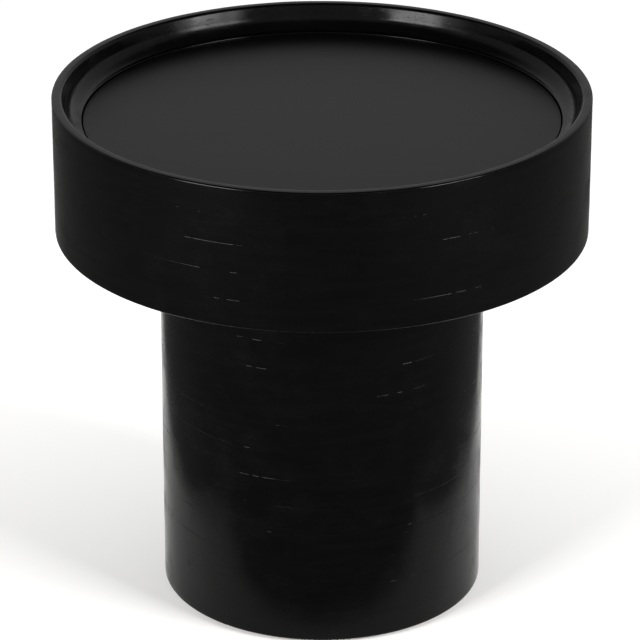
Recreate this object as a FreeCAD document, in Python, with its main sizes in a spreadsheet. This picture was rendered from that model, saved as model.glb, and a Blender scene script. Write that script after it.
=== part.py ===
"""Round pedestal side table of black stained wood, built the way it is made.

Short wooden blocks are glued into rings, the rings are stacked in brick bond and the two stacks
are turned on a lathe: a drum with a coved tray on top, and a hollow pedestal under it. A panel
drops into the tray, a board closes the drum from below, and four bolts hold the drum to a head
plate inside the pedestal. All lengths are millimetres, +Z is up, and the origin is the middle of
the footprint at floor level.
"""
import FreeCAD, Part
import math
import os

import Sketcher

# Driving sizes: alias and value of every cell in the sheet
SIZES = (
    # Drum of the tray
    ("tray_diameter", "450"),
    ("rim_course_height", "24"),
    ("rim_course_count", "5"),
    ("rim_block_count", "12"),
    ("rim_wall_width", "38"),
    ("rim_foot_round", "2"),
    # Lip and cove round the tray floor
    ("lip_width", "9"),
    ("lip_outer_round", "1.5"),
    ("lip_inner_round", "3"),
    ("cove_radius", "15.5"),
    ("cove_depth", "21"),
    # Tray floor
    ("panel_step", "1"),
    ("panel_gap", "1"),
    ("panel_thickness", "18"),
    ("panel_edge_round", "0.6"),
    # Board that closes the drum from below
    ("board_thickness", "18"),
    ("board_gap", "0.3"),
    ("board_land_width", "20"),
    # Pedestal
    ("pedestal_diameter", "275"),
    ("pedestal_course_height", "25"),
    ("pedestal_course_count", "13"),
    ("pedestal_block_count", "8"),
    ("pedestal_wall_width", "37.5"),
    ("pedestal_foot_round", "2"),
    ("head_shoulder_width", "20"),
    # Blocks before turning
    ("glue_line", "0.1"),
    ("turning_allowance", "3"),
    # Head plate inside the pedestal
    ("plate_thickness", "18"),
    ("plate_gap", "0.3"),
    # Bolts, washers and threaded inserts
    ("bolt_count", "4"),
    ("bolt_wall_distance", "25"),
    ("bolt_diameter", "8"),
    ("bolt_clearance", "0.5"),
    ("bolt_end_gap", "2"),
    ("bolt_head_diameter", "13"),
    ("bolt_head_height", "8"),
    ("socket_width", "6"),
    ("socket_depth", "4"),
    ("washer_diameter", "20"),
    ("washer_thickness", "1.6"),
    ("washer_clearance", "0.2"),
    ("insert_diameter", "12"),
    ("insert_length", "15"),
    ("insert_flange_diameter", "16"),
    ("insert_flange_thickness", "1.5"),
    ("thread_clearance", "0.1"),
    # Countersunk wood screws
    ("screw_diameter", "4"),
    ("screw_head_diameter", "8"),
    ("screw_head_height", "2.4"),
    ("screw_length", "35"),
    ("screw_point_length", "5"),
    ("screw_clearance", "0.1"),
    ("plate_screw_edge_distance", "10"),
    # Felt pads under the foot
    ("pad_count", "4"),
    ("pad_diameter", "30"),
    ("pad_thickness", "3"),
    # Cutting tools run past the wood by this much
    ("cut_overrun", "5"),
)

# Places worked out from the driving sizes: alias and formula
PLACES = (
    # Heights from the floor up
    ("pedestal_bottom", "Sizes.pad_thickness"),
    ("pedestal_top", "pedestal_bottom + Sizes.pedestal_course_count * Sizes.pedestal_course_height"),
    ("tray_bottom", "pedestal_top"),
    ("tray_top", "tray_bottom + Sizes.rim_course_count * Sizes.rim_course_height"),
    ("head_course_bottom", "pedestal_top - Sizes.pedestal_course_height"),
    ("plate_top", "head_course_bottom"),
    ("plate_bottom", "plate_top - Sizes.plate_thickness"),
    ("board_top", "tray_bottom + Sizes.board_thickness"),
    ("cove_foot", "tray_top - Sizes.cove_depth"),
    ("cove_middle", "cove_foot + Sizes.cove_radius"),
    ("panel_top", "cove_foot - Sizes.panel_step"),
    ("panel_bottom", "panel_top - Sizes.panel_thickness"),
    ("lip_outer_round_low", "tray_top - Sizes.lip_outer_round"),
    ("lip_inner_round_low", "tray_top - Sizes.lip_inner_round"),
    ("rim_foot_round_top", "tray_bottom + Sizes.rim_foot_round"),
    ("pedestal_foot_round_top", "pedestal_bottom + Sizes.pedestal_foot_round"),
    # Radii of the turned drum
    ("tray_radius", "Sizes.tray_diameter / 2"),
    ("rim_block_face", "tray_radius - Sizes.rim_wall_width"),
    ("rim_tool_radius", "rim_block_face - Sizes.cut_overrun"),
    ("rim_foot_round_radius", "tray_radius - Sizes.rim_foot_round"),
    ("lip_outer_round_radius", "tray_radius - Sizes.lip_outer_round"),
    ("lip_wall_radius", "tray_radius - Sizes.lip_width"),
    ("lip_inner_round_radius", "lip_wall_radius + Sizes.lip_inner_round"),
    ("cove_foot_radius", "lip_wall_radius - Sizes.cove_radius"),
    ("panel_radius", "cove_foot_radius - Sizes.panel_gap"),
    ("board_rebate_radius", "tray_radius - Sizes.board_land_width"),
    ("board_radius", "board_rebate_radius - Sizes.board_gap"),
    # Radii of the turned pedestal and of what sits in it
    ("pedestal_radius", "Sizes.pedestal_diameter / 2"),
    ("pedestal_foot_round_radius", "pedestal_radius - Sizes.pedestal_foot_round"),
    ("pedestal_block_face", "pedestal_radius - Sizes.pedestal_wall_width"),
    ("head_block_face", "pedestal_block_face - Sizes.head_shoulder_width"),
    ("plate_radius", "pedestal_block_face - Sizes.plate_gap"),
    # Circles that the fasteners stand on
    ("bolt_circle_radius", "head_block_face - Sizes.bolt_wall_distance"),
    ("rim_block_corner_radius", "rim_block_face / cos(180 / Sizes.rim_block_count)"),
    ("board_screw_circle_radius", "(rim_block_corner_radius + board_rebate_radius) / 2"),
    ("plate_screw_circle_radius", "plate_radius - Sizes.plate_screw_edge_distance"),
    ("pad_circle_radius", "pedestal_radius - Sizes.pedestal_wall_width / 2"),
    # Bolt, washer and insert
    ("bolt_radius", "Sizes.bolt_diameter / 2"),
    ("bolt_hole_radius", "bolt_radius + Sizes.bolt_clearance"),
    ("bolt_head_radius", "Sizes.bolt_head_diameter / 2"),
    ("washer_radius", "Sizes.washer_diameter / 2"),
    ("washer_hole_radius", "bolt_radius + Sizes.washer_clearance"),
    ("washer_bottom", "plate_bottom - Sizes.washer_thickness"),
    ("bolt_head_bottom", "washer_bottom - Sizes.bolt_head_height"),
    ("insert_radius", "Sizes.insert_diameter / 2"),
    ("insert_bore_radius", "bolt_radius + Sizes.thread_clearance"),
    ("insert_hole_radius", "insert_radius + Sizes.thread_clearance"),
    ("insert_flange_radius", "Sizes.insert_flange_diameter / 2"),
    ("insert_flange_hole_radius", "insert_flange_radius + Sizes.thread_clearance"),
    ("insert_flange_top", "tray_bottom + Sizes.insert_flange_thickness"),
    ("insert_top", "tray_bottom + Sizes.insert_length"),
    ("bolt_top", "insert_top - Sizes.bolt_end_gap"),
    ("socket_corner_radius", "Sizes.socket_width / sqrt(3)"),
    # Screws: each is a countersunk head, a shank and a point, seated flush with the face it enters
    ("screw_radius", "Sizes.screw_diameter / 2"),
    ("screw_head_radius", "Sizes.screw_head_diameter / 2"),
    ("screw_hole_radius", "screw_radius + Sizes.screw_clearance"),
    ("screw_head_hole_radius", "screw_head_radius + Sizes.screw_clearance"),
    ("board_screw_neck", "tray_bottom + Sizes.screw_head_height"),
    ("board_screw_top", "tray_bottom + Sizes.screw_length"),
    ("board_screw_shoulder", "board_screw_top - Sizes.screw_point_length"),
    ("board_screw_hole_top", "board_screw_top + Sizes.screw_clearance"),
    ("plate_screw_neck", "plate_bottom + Sizes.screw_head_height"),
    ("plate_screw_top", "plate_bottom + Sizes.screw_length"),
    ("plate_screw_shoulder", "plate_screw_top - Sizes.screw_point_length"),
    ("plate_screw_hole_top", "plate_screw_top + Sizes.screw_clearance"),
)

AXIS = "on the axis"
FULL_TURN = 360
# Each course is turned by this share of a block from the fasteners' bearing, to either side in turn
BOND_SHARE = 1 / 4

doc = FreeCAD.newDocument("PedestalSideTable")
finished = []


def fill_sheet(name, cells, prefix):
    """Make a sheet with one aliased cell in each row."""
    sheet = doc.addObject("Spreadsheet::Sheet", name)
    for row, (alias, content) in enumerate(cells, start=1):
        cell = "B{}".format(row)
        sheet.set("A{}".format(row), alias)
        sheet.set(cell, prefix + content)
        sheet.setAlias(cell, alias)
    doc.recompute()
    return sheet


sizes = fill_sheet("Sizes", SIZES, "")
places = fill_sheet("Places", PLACES, "=")
SIZE_NAMES = {alias for alias, _ in SIZES}


def value(alias):
    """The number that a cell holds now."""
    return float(sizes.get(alias) if alias in SIZE_NAMES else places.get(alias))


def bound(alias):
    """The expression that binds a property to a cell."""
    return ("Sizes." if alias in SIZE_NAMES else "Places.") + alias


def origin_feature(body, role):
    """One of a body's own origin planes or axes."""
    return next(feature for feature in body.Origin.OriginFeatures if feature.Role == role)


def new_body(label):
    """An empty body that may hold several separate solids."""
    body = doc.addObject("PartDesign::Body", label)
    body.Label = label
    body.AllowCompound = True
    return body


def new_sketch(body, name, plane, across=None, height=None):
    """A sketch on an origin plane, moved along the plane's first axis and along +Z by named places."""
    sketch = body.newObject("Sketcher::SketchObject", name)
    sketch.AttachmentSupport = [(origin_feature(body, plane), "")]
    sketch.MapMode = "FlatFace"
    if across:
        sketch.setExpression("AttachmentOffset.Base.x", bound(across))
    if height:
        sketch.setExpression("AttachmentOffset.Base.z", bound(height))
    return sketch


def hold(sketch, kind, geometry, point, alias):
    """Hold one coordinate of a sketch point at a named place."""
    if alias == AXIS:
        sketch.addConstraint(Sketcher.Constraint("PointOnObject", geometry, point, -2))
        return
    index = sketch.addConstraint(Sketcher.Constraint(kind, -1, 1, geometry, point, value(alias)))
    sketch.setExpression("Constraints[{}]".format(index), bound(alias))


def half_section(sketch, *corners):
    """Draw a closed half section from corners, each a radius and a height by name.

    A corner with two more names is reached by a quarter arc about that centre, and any other by
    a straight line.
    """
    spots = [tuple(0.0 if alias == AXIS else value(alias) for alias in corner) for corner in corners]
    edges = []
    for index, corner in enumerate(corners):
        start, end = spots[index - 1], spots[index]
        here, there = FreeCAD.Vector(*start[:2]), FreeCAD.Vector(*end[:2])
        if len(corner) == 2:
            edges.append((sketch.addGeometry(Part.LineSegment(here, there), False), 1, 2))
            continue
        middle = FreeCAD.Vector(*end[2:])
        turns = [math.atan2(spot.y - middle.y, spot.x - middle.x) for spot in (here, there)]
        forwards = (turns[1] - turns[0]) % (2 * math.pi) < math.pi
        circle = Part.Circle(middle, FreeCAD.Vector(0, 0, 1), (there - middle).Length)
        arc = Part.ArcOfCircle(circle, *(turns if forwards else reversed(turns)))
        edges.append((sketch.addGeometry(arc, False), *((1, 2) if forwards else (2, 1))))
    for index, corner in enumerate(corners):
        geometry, _, end = edges[index]
        following, start, _ = edges[(index + 1) % len(edges)]
        sketch.addConstraint(Sketcher.Constraint("Coincident", geometry, end, following, start))
        hold(sketch, "DistanceX", geometry, end, corner[0])
        hold(sketch, "DistanceY", geometry, end, corner[1])
        if len(corner) > 2:
            hold(sketch, "DistanceX", geometry, 3, corner[2])


def turn(body, name, kind, corners, across=None):
    """Revolve a half section a full turn, about the body's axis or about its own upright line."""
    sketch = new_sketch(body, name + "_section", "XZ_Plane", across=across)
    half_section(sketch, *corners)
    feature = body.newObject("PartDesign::" + kind, name)
    feature.Profile = sketch
    feature.ReferenceAxis = (sketch, ["V_Axis"])
    feature.Angle = FULL_TURN
    body.Tip = feature
    doc.recompute()
    return feature


def ring_of(body, name, features, count):
    """Repeat features evenly round the body's upright axis."""
    pattern = body.newObject("PartDesign::PolarPattern", name)
    pattern.Originals = features
    pattern.Axis = (origin_feature(body, "Z_Axis"), [""])
    pattern.Angle = FULL_TURN
    pattern.setExpression("Occurrences", bound(count))
    body.Tip = pattern
    doc.recompute()
    return pattern


def disc(body, name, radius, bottom, thickness):
    """Pad a round board of a named radius."""
    sketch = new_sketch(body, name + "_outline", "XY_Plane", height=bottom)
    circle = Part.Circle(FreeCAD.Vector(), FreeCAD.Vector(0, 0, 1), value(radius))
    sketch.addGeometry(circle, False)
    sketch.addConstraint(Sketcher.Constraint("Coincident", 0, 3, -1, 1))
    index = sketch.addConstraint(Sketcher.Constraint("Radius", 0, value(radius)))
    sketch.setExpression("Constraints[{}]".format(index), bound(radius))
    pad = body.newObject("PartDesign::Pad", name)
    pad.Profile = sketch
    pad.setExpression("Length", bound(thickness))
    body.Tip = pad
    doc.recompute()
    return pad


def finish(piece, label):
    """Name a finished sub-part and keep it for the export."""
    piece.Label = label
    finished.append(piece)


def block_ring(label, inner_face, outer_radius, count, height, low, angle):
    """Glue up one course: straight blocks with mitred ends, left oversize on the outside."""
    body = new_body(label)
    sketch = new_sketch(body, label + "_plan", "XY_Plane")
    half_mitre = "tan(180 / {})".format(bound(count))
    half_glue = "Sizes.glue_line / 2 / cos(180 / {})".format(bound(count))
    # The oversize outer face still covers the finished radius at the block's ends
    outer_face = "({} + Sizes.turning_allowance)".format(bound(outer_radius))
    across = math.tan(math.pi / value(count))
    near, far = value(inner_face), value(outer_radius) + value("turning_allowance")
    spots = [(near, -near * across), (far, -far * across), (far, far * across), (near, near * across)]
    for index, spot in enumerate(spots):
        following = spots[(index + 1) % len(spots)]
        sketch.addGeometry(Part.LineSegment(FreeCAD.Vector(*spot), FreeCAD.Vector(*following)), False)
    for index in range(len(spots)):
        following = (index + 1) % len(spots)
        sketch.addConstraint(Sketcher.Constraint("Coincident", index, 2, following, 1))
    sketch.addConstraint(Sketcher.Constraint("Symmetric", 0, 1, 3, 1, -1))
    sketch.addConstraint(Sketcher.Constraint("Symmetric", 1, 1, 2, 1, -1))
    for corner, face in ((3, bound(inner_face)), (2, outer_face)):
        spot = spots[corner]
        index = sketch.addConstraint(Sketcher.Constraint("DistanceX", -1, 1, corner, 1, spot[0]))
        sketch.setExpression("Constraints[{}]".format(index), face)
        index = sketch.addConstraint(Sketcher.Constraint("DistanceY", -1, 1, corner, 1, spot[1]))
        half_width = "{} * {} - {}".format(face, half_mitre, half_glue)
        sketch.setExpression("Constraints[{}]".format(index), half_width)
    pad = body.newObject("PartDesign::Pad", label + "_block")
    pad.Profile = sketch
    pad.setExpression("Length", bound(height))
    doc.recompute()
    ring_of(body, label + "_ring", [pad], count)
    body.Placement.Rotation = FreeCAD.Rotation(FreeCAD.Vector(0, 0, 1), angle)
    body.setExpression("Placement.Base.z", low)
    return body


def turned_courses(prefix, form, count, height, bottom, block_count, faces, outer_radius):
    """Stack block rings in brick bond and turn each course to the lathe form."""
    courses = int(value(count))
    block_angle = FULL_TURN / value(block_count)
    for course in range(courses):
        label = prefix.format(course + 1)
        low = "{} + {} * {}".format(bound(bottom), course, bound(height))
        face = faces[0] if course < courses - 1 else faces[1]
        bond = block_angle * (BOND_SHARE if course % 2 else -BOND_SHARE)
        blank = block_ring(label + "_blocks", face, outer_radius, block_count, height, low, bond)
        turned = doc.addObject("Part::Common", label)
        turned.Base = blank
        turned.Tool = form
        finish(turned, label)


def screw(bottom, neck, shoulder, top):
    """Half section of a countersunk screw driven upwards."""
    return (
        (AXIS, bottom),
        ("screw_head_radius", bottom),
        ("screw_radius", neck),
        ("screw_radius", shoulder),
        (AXIS, top),
    )


def screw_hole(bottom, neck, top):
    """Half section of the hole that takes such a screw."""
    return (
        (AXIS, bottom),
        ("screw_head_hole_radius", bottom),
        ("screw_hole_radius", neck),
        ("screw_hole_radius", top),
        (AXIS, top),
    )


BOARD_SCREW_HOLE = screw_hole("tray_bottom", "board_screw_neck", "board_screw_hole_top")
PLATE_SCREW_HOLE = screw_hole("plate_bottom", "plate_screw_neck", "plate_screw_hole_top")


def make_tray_drum():
    """The five courses of the drum, turned with the cove, the panel's rebate and the board's rebate."""
    form = new_body("drum_lathe_form")
    drum = turn(form, "drum", "Revolution", (
        ("board_rebate_radius", "tray_bottom"),
        ("rim_foot_round_radius", "tray_bottom"),
        ("tray_radius", "rim_foot_round_top", "rim_foot_round_radius", "rim_foot_round_top"),
        ("tray_radius", "lip_outer_round_low"),
        ("lip_outer_round_radius", "tray_top", "lip_outer_round_radius", "lip_outer_round_low"),
        ("lip_inner_round_radius", "tray_top"),
        ("lip_wall_radius", "lip_inner_round_low", "lip_inner_round_radius", "lip_inner_round_low"),
        ("lip_wall_radius", "cove_middle"),
        ("cove_foot_radius", "cove_foot", "cove_foot_radius", "cove_middle"),
        ("cove_foot_radius", "panel_bottom"),
        ("rim_tool_radius", "panel_bottom"),
        ("rim_tool_radius", "board_top"),
        ("board_rebate_radius", "board_top"),
    ))
    # One pilot hole to a block, a quarter of a block from the joints of both bonds
    pilot = turn(form, "pilot", "Groove", BOARD_SCREW_HOLE, across="board_screw_circle_radius")
    ring_of(form, "pilots", [pilot], "rim_block_count")
    print("drum form volume", round(drum.Shape.Volume), "with pilot holes", round(form.Shape.Volume))
    turned_courses("rim_course_{}", form, "rim_course_count", "rim_course_height", "tray_bottom",
                   "rim_block_count", ("rim_block_face", "rim_block_face"), "tray_radius")


def make_pedestal_courses():
    """The courses of the pedestal: turned outside, flat block faces inside, a shoulder at the head."""
    form = new_body("pedestal_lathe_form")
    shaft = turn(form, "shaft", "Revolution", (
        (AXIS, "pedestal_bottom"),
        ("pedestal_foot_round_radius", "pedestal_bottom"),
        ("pedestal_radius", "pedestal_foot_round_top",
         "pedestal_foot_round_radius", "pedestal_foot_round_top"),
        ("pedestal_radius", "pedestal_top"),
        (AXIS, "pedestal_top"),
    ))
    pilot = turn(form, "pilot", "Groove", PLATE_SCREW_HOLE, across="plate_screw_circle_radius")
    ring_of(form, "pilots", [pilot], "pedestal_block_count")
    print("pedestal form volume", round(shaft.Shape.Volume), "with pilot holes", round(form.Shape.Volume))
    turned_courses("pedestal_course_{:02d}", form, "pedestal_course_count", "pedestal_course_height",
                   "pedestal_bottom", "pedestal_block_count", ("pedestal_block_face", "head_block_face"),
                   "pedestal_radius")


def make_tray_panel():
    """The round tray floor, with its upper edge eased."""
    body = new_body("tray_panel")
    pad = disc(body, "panel", "panel_radius", "panel_bottom", "panel_thickness")
    level = value("panel_top")
    upper = [
        "Edge{}".format(index)
        for index, edge in enumerate(pad.Shape.Edges, start=1)
        if abs(edge.BoundBox.ZMin - level) < edge.BoundBox.DiagonalLength / 1000
        and abs(edge.BoundBox.ZMax - level) < edge.BoundBox.DiagonalLength / 1000
    ]
    eased = body.newObject("PartDesign::Fillet", "panel_edge")
    eased.Base = (pad, upper)
    eased.setExpression("Radius", bound("panel_edge_round"))
    body.Tip = eased
    finish(body, "tray_panel")


def make_base_board():
    """The board that closes the drum from below and holds the threaded inserts."""
    body = new_body("base_board")
    disc(body, "board", "board_radius", "tray_bottom", "board_thickness")
    hole = turn(body, "insert_hole", "Groove", (
        (AXIS, "tray_bottom"),
        ("insert_flange_hole_radius", "tray_bottom"),
        ("insert_flange_hole_radius", "insert_flange_top"),
        ("insert_hole_radius", "insert_flange_top"),
        ("insert_hole_radius", "board_top"),
        (AXIS, "board_top"),
    ), across="bolt_circle_radius")
    ring_of(body, "insert_holes", [hole], "bolt_count")
    drilled = turn(body, "screw_hole", "Groove", BOARD_SCREW_HOLE, across="board_screw_circle_radius")
    ring_of(body, "screw_holes", [drilled], "rim_block_count")
    finish(body, "base_board")


def make_head_plate():
    """The plate under the pedestal's shoulder that the bolts pull against."""
    body = new_body("head_plate")
    disc(body, "plate", "plate_radius", "plate_bottom", "plate_thickness")
    hole = turn(body, "bolt_hole", "Groove", (
        (AXIS, "plate_bottom"),
        ("bolt_hole_radius", "plate_bottom"),
        ("bolt_hole_radius", "plate_top"),
        (AXIS, "plate_top"),
    ), across="bolt_circle_radius")
    ring_of(body, "bolt_holes", [hole], "bolt_count")
    drilled = turn(body, "screw_hole", "Groove", PLATE_SCREW_HOLE, across="plate_screw_circle_radius")
    ring_of(body, "screw_holes", [drilled], "pedestal_block_count")
    finish(body, "head_plate")


def make_ring_of_fittings(label, circle, count, *corners):
    """A ring of like fittings, each turned from one half section on its own upright axis."""
    body = new_body(label)
    fitting = turn(body, label + "_one", "Revolution", corners, across=circle)
    ring_of(body, label + "_ring", [fitting], count)
    finish(body, label)


def make_bolts():
    """Socket head bolts that come up through the head plate into the inserts."""
    body = new_body("clamp_bolts")
    shank = turn(body, "bolt", "Revolution", (
        (AXIS, "bolt_head_bottom"),
        ("bolt_head_radius", "bolt_head_bottom"),
        ("bolt_head_radius", "washer_bottom"),
        ("bolt_radius", "washer_bottom"),
        ("bolt_radius", "bolt_top"),
        (AXIS, "bolt_top"),
    ), across="bolt_circle_radius")
    sketch = new_sketch(body, "socket_outline", "XY_Plane", "bolt_circle_radius", "bolt_head_bottom")
    reach = value("socket_corner_radius")
    sides = 6
    corners = [
        FreeCAD.Vector(reach * math.cos(turn_by), reach * math.sin(turn_by))
        for turn_by in (2 * math.pi * side / sides for side in range(sides))
    ]
    for side in range(sides):
        sketch.addGeometry(Part.LineSegment(corners[side], corners[(side + 1) % sides]), False)
    rim = sketch.addGeometry(Part.Circle(FreeCAD.Vector(), FreeCAD.Vector(0, 0, 1), reach), True)
    sketch.addConstraint(Sketcher.Constraint("Coincident", rim, 3, -1, 1))
    index = sketch.addConstraint(Sketcher.Constraint("Radius", rim, reach))
    sketch.setExpression("Constraints[{}]".format(index), bound("socket_corner_radius"))
    for side in range(sides):
        sketch.addConstraint(Sketcher.Constraint("Coincident", side, 2, (side + 1) % sides, 1))
        sketch.addConstraint(Sketcher.Constraint("PointOnObject", side, 1, rim))
        if side:
            sketch.addConstraint(Sketcher.Constraint("Equal", 0, side))
    sketch.addConstraint(Sketcher.Constraint("PointOnObject", 0, 1, -1))
    socket = body.newObject("PartDesign::Pocket", "socket")
    socket.Profile = sketch
    socket.setExpression("Length", bound("socket_depth"))
    socket.Reversed = True
    body.Tip = socket
    doc.recompute()
    print("bolt volume", round(shank.Shape.Volume), "with socket", round(body.Shape.Volume))
    ring_of(body, "bolts", [shank, socket], "bolt_count")
    finish(body, "clamp_bolts")


def make_fittings():
    """Bolts, washers, inserts, screws and pads."""
    make_bolts()
    make_ring_of_fittings(
        "bolt_washers", "bolt_circle_radius", "bolt_count",
        ("washer_hole_radius", "washer_bottom"),
        ("washer_radius", "washer_bottom"),
        ("washer_radius", "plate_bottom"),
        ("washer_hole_radius", "plate_bottom"),
    )
    make_ring_of_fittings(
        "threaded_inserts", "bolt_circle_radius", "bolt_count",
        ("insert_bore_radius", "tray_bottom"),
        ("insert_flange_radius", "tray_bottom"),
        ("insert_flange_radius", "insert_flange_top"),
        ("insert_radius", "insert_flange_top"),
        ("insert_radius", "insert_top"),
        ("insert_bore_radius", "insert_top"),
    )
    make_ring_of_fittings(
        "board_screws", "board_screw_circle_radius", "rim_block_count",
        *screw("tray_bottom", "board_screw_neck", "board_screw_shoulder", "board_screw_top"),
    )
    make_ring_of_fittings(
        "plate_screws", "plate_screw_circle_radius", "pedestal_block_count",
        *screw("plate_bottom", "plate_screw_neck", "plate_screw_shoulder", "plate_screw_top"),
    )
    body = new_body("felt_pads")
    sketch = new_sketch(body, "pad_outline", "XY_Plane", across="pad_circle_radius")
    outline = Part.Circle(FreeCAD.Vector(), FreeCAD.Vector(0, 0, 1), value("pad_diameter") / 2)
    sketch.addGeometry(outline, False)
    sketch.addConstraint(Sketcher.Constraint("Coincident", 0, 3, -1, 1))
    index = sketch.addConstraint(Sketcher.Constraint("Diameter", 0, value("pad_diameter")))
    sketch.setExpression("Constraints[{}]".format(index), bound("pad_diameter"))
    pad = body.newObject("PartDesign::Pad", "pad")
    pad.Profile = sketch
    pad.setExpression("Length", bound("pad_thickness"))
    doc.recompute()
    ring_of(body, "pads", [pad], "pad_count")
    finish(body, "felt_pads")


def check_and_export():
    """Stop on any faulty object, then write every sub-part to its own file."""
    doc.recompute()
    for thing in doc.Objects:
        if {"Invalid", "Error"} & set(thing.State):
            raise RuntimeError("{} is in a faulty state: {}".format(thing.Label, thing.State))
    os.makedirs("parts", exist_ok=True)
    for piece in finished:
        shape = piece.Shape
        if shape.isNull() or not shape.isValid():
            raise RuntimeError("{} has no valid shape".format(piece.Label))
        shape.exportStep("parts/{}.step".format(piece.Label))
        print(piece.Label, len(shape.Solids), "solids", round(shape.Volume), "mm3")


make_tray_drum()
make_tray_panel()
make_base_board()
make_pedestal_courses()
make_head_plate()
make_fittings()
check_and_export()
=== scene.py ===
"""Round pedestal side table in black lacquered mango wood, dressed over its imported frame.

The drum and the pedestal are rings of glued blocks that were turned on a lathe. Every block is
its own closed shell here, with its own grain, and the joints between the courses open and close
along their length as hand-filled glue lines do.
"""

import logging
import math
import random
from collections.abc import Callable, Iterator, Sequence
from dataclasses import dataclass, field
from enum import Enum
from typing import Any

import bpy
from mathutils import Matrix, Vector, noise


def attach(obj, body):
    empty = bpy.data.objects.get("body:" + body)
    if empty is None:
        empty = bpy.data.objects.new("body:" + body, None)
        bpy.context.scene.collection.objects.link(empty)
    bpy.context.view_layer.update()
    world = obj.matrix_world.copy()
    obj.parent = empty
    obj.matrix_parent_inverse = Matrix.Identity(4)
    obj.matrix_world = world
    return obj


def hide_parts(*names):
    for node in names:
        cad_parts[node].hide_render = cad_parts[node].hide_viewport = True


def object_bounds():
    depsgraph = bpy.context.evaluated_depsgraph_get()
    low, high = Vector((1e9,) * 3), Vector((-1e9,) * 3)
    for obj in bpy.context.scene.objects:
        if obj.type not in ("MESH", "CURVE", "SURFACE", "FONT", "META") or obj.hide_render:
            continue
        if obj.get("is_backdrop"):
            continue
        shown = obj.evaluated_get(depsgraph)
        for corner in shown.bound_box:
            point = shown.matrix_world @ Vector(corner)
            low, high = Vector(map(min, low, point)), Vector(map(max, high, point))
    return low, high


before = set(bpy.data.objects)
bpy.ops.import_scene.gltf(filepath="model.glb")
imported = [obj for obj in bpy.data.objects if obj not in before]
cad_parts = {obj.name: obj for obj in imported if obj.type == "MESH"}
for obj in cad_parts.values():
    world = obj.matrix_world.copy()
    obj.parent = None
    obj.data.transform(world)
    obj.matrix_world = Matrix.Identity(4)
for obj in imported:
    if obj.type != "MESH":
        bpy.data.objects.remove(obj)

CAD_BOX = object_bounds()
LOG = logging.getLogger("side_table")
MM = 0.001
BODY = "root"
FULL_TURN = 2 * math.pi
WHITE = (1.0, 1.0, 1.0, 1.0)

Tree = bpy.types.NodeTree
Node = bpy.types.Node
Socket = bpy.types.NodeSocket
Material = bpy.types.Material
Object = bpy.types.Object
Triple = tuple[float, float, float]
Span = tuple[float, float]
Profile = list[tuple[float, float]]
# A closed half section and its count of shown edges, by bearing and angle from a block's middle
Section = Callable[[float, float], tuple[Profile, int]]
# A radius by the angle round an axis
Reach = Callable[[float], float]


class Face(Enum):
    """Which finish a face of a block takes, as the number of its material slot."""

    SHOWN = 0
    INNER = 1


class Drive(Enum):
    """The recess that turns a fastener."""

    HEX = "hex"
    CROSS = "cross"


class Space(Enum):
    """Where a pattern lies: in the object as it stands, or in the board its blocks came from."""

    OBJECT = "object"
    BOARD = "board"


class Bond(Enum):
    """Which way a course is turned against the fasteners' bearing, in block widths."""

    LEFT = -0.25
    RIGHT = 0.25

    @classmethod
    def of_course(cls, index: int) -> "Bond":
        """Courses lean left and right in turn, from the lowest up."""
        return cls.RIGHT if index % 2 else cls.LEFT


def linear(hex_colour: str) -> tuple[float, float, float, float]:
    """Turn an sRGB hex colour into linear light.

    Args:
        hex_colour: Six hex digits after a hash sign.

    Returns:
        Red, green, blue and an alpha of one.
    """
    levels = [int(hex_colour[place:place + 2], 16) / 255 for place in (1, 3, 5)]
    return (*(c / 12.92 if c <= 0.04045 else ((c + 0.055) / 1.055) ** 2.4 for c in levels), 1.0)


def add(tree: Tree, kind: str, inputs: dict[str | int, Any] | None = None, **settings: Any) -> Node:
    """Add one node with its settings and links.

    Args:
        tree: The node tree that takes it.
        kind: The node's type without its common prefix.
        inputs: Values, or sockets to link from, by the name or number of the input.
        **settings: The node's own settings.

    Returns:
        The new node.
    """
    node = tree.nodes.new("ShaderNode" + kind)
    for name, setting in settings.items():
        setattr(node, name, setting)
    for name, given in (inputs or {}).items():
        if isinstance(given, Socket):
            tree.links.new(given, node.inputs[name])
        else:
            node.inputs[name].default_value = given
    return node


def per_mm(*lengths_mm: float) -> tuple[float, ...]:
    """Pattern scales, per metre, whose features are about these lengths in millimetres."""
    return tuple(1 / (length * MM) for length in lengths_mm)


def ranged(tree: Tree, value: Socket, source: Span,
           target: Span = (0.0, 1.0), **settings: Any) -> Socket:
    """Add a map from one range of values to another, held at its ends.

    Args:
        tree: The node tree that takes it.
        value: What is mapped.
        source: The two ends of the range it comes from.
        target: The values at those ends.
        **settings: The node's own settings.

    Returns:
        The mapped value.
    """
    given = {"Value": value, "From Min": source[0], "From Max": source[1],
             "To Min": target[0], "To Max": target[1]}
    return add(tree, "MapRange", given, **settings).outputs[0]


def reckon(tree: Tree, operation: str, *values: float | Socket) -> Socket:
    """Add one step of arithmetic and give its result."""
    return add(tree, "Math", dict(enumerate(values)), operation=operation).outputs[0]


def paint(tree: Tree, shader: Node, share: Socket, first: str, second: str) -> None:
    """Colour a shader between two hex colours.

    Args:
        tree: The material's node tree.
        shader: The shader.
        share: How much of the second colour shows, from 0 to 1.
        first: The colour at 0.
        second: The colour at 1.
    """
    # The colour sockets go by number, because the node has other sockets of the same names
    colour = add(tree, "Mix", {0: share, 6: linear(first), 7: linear(second)}, data_type="RGBA")
    tree.links.new(colour.outputs[2], shader.inputs["Base Color"])


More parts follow.
